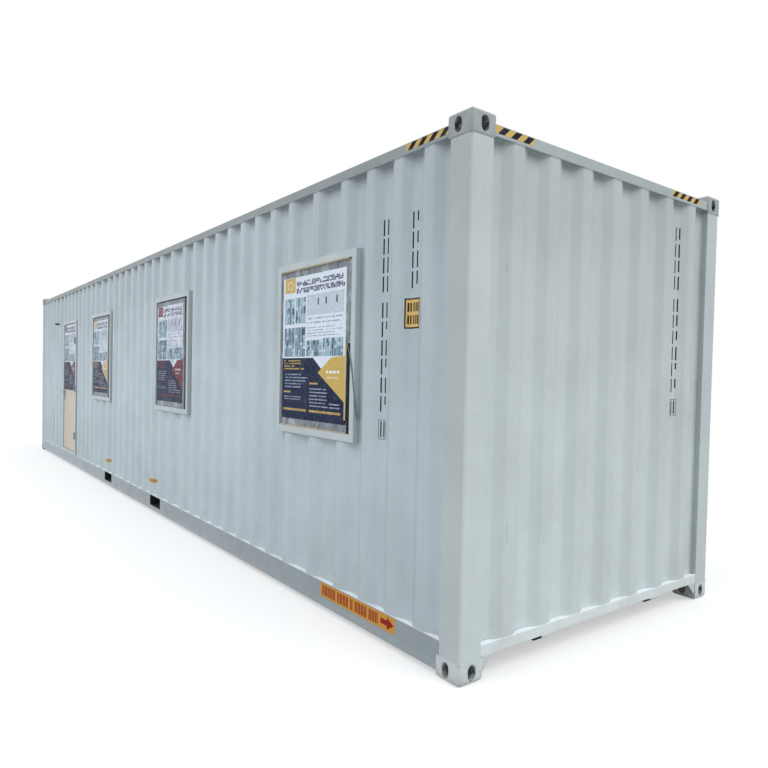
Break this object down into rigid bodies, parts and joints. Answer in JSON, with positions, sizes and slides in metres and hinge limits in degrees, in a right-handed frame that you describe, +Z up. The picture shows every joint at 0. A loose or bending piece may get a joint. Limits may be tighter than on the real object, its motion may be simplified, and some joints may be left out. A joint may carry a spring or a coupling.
{
  "type": "shipping container cabin",
  "caption": "Long corrugated steel shipping container converted to a cabin, with framed windows and a hinged door in one long side and castings at its corners.",
  "frame": {"origin": "under the middle of the whole bounding box, on the plane of the bottom castings", "axes": "+X along the container towards the gooseneck end, -Y the side with the door, +Z up"},
  "size_m": [12.192, 2.471, 2.896],
  "materials": {
    "casting_paint": "light grey enamel on rough cast steel",
    "frame_paint": "light grey enamel, slightly dusty",
    "side_paint": "light blue-grey enamel on folded sheet",
    "end_paint": "light grey enamel on folded sheet",
    "roof_paint": "light grey enamel, dusty",
    "floor_board": "sealed plywood",
    "underside_steel": "dark primer",
    "lining_panel": "off-white faced board",
    "surround_paint": "light grey enamel on folded plate",
    "sash_frame": "grey under a crumpled protective film",
    "clear_glass": "clear",
    "printed_sheet": "pale printed sheet with a dark foot",
    "door_skin": "cream skin",
    "black_metal": "black",
    "dark_plastic": "dark grey"
  },
  "bodies": {
    "cabin": {"top_castings_front": "casting_paint", "top_castings_rear": "casting_paint", "bottom_castings_front": "casting_paint", "bottom_castings_rear": "casting_paint", "corner_post_front_door_side": "frame_paint", "corner_post_front_far_side": "frame_paint", "corner_post_rear_door_side": "frame_paint", "corner_post_rear_far_side": "frame_paint", "top_side_rail_door_side": "frame_paint", "top_side_rail_far_side": "frame_paint", "top_end_rail_front": "frame_paint", "top_end_rail_rear": "frame_paint", "bottom_side_rail_door_side": "frame_paint", "bottom_side_rail_far_side": "frame_paint", "bottom_end_rail_front": "frame_paint", "bottom_end_rail_rear": "frame_paint", "wall_sheet_windows": "side_paint", "wall_sheet_rear": "side_paint", "wall_sheet_over_door": "side_paint", "wall_sheet_far_side": "side_paint", "end_sheet_front": "end_paint", "end_sheet_rear": "end_paint", "roof_sheet": "roof_paint", "floor_deck": "floor_board", "cross_members": "underside_steel", "gooseneck_tunnel": "underside_steel", "fork_pockets": "underside_steel", "lining_door_side": "lining_panel", "lining_far_side": "lining_panel", "lining_ends": "lining_panel", "ceiling_lining": "lining_panel", "window_surrounds": "surround_paint", "window_sashes": "sash_frame", "window_glass": "clear_glass", "window_posters": "printed_sheet", "far_window_surrounds": "surround_paint", "far_window_sashes": "sash_frame", "far_window_glass": "clear_glass", "door_frame": "surround_paint", "frame_hinges": "black_metal", "cable_inlet": "dark_plastic"},
    "door": {"door_leaf": "door_skin", "door_poster": "printed_sheet", "door_handle": "black_metal", "leaf_hinges": "black_metal"}
  },
  "joints": [
    {"name": "door_hinge", "type": "hinge", "parent": "cabin", "child": "door", "pos_m": [-3.07, -1.216, 0.5], "axis": [0, 0, 1], "range_deg": [0, 100]}
  ]
}
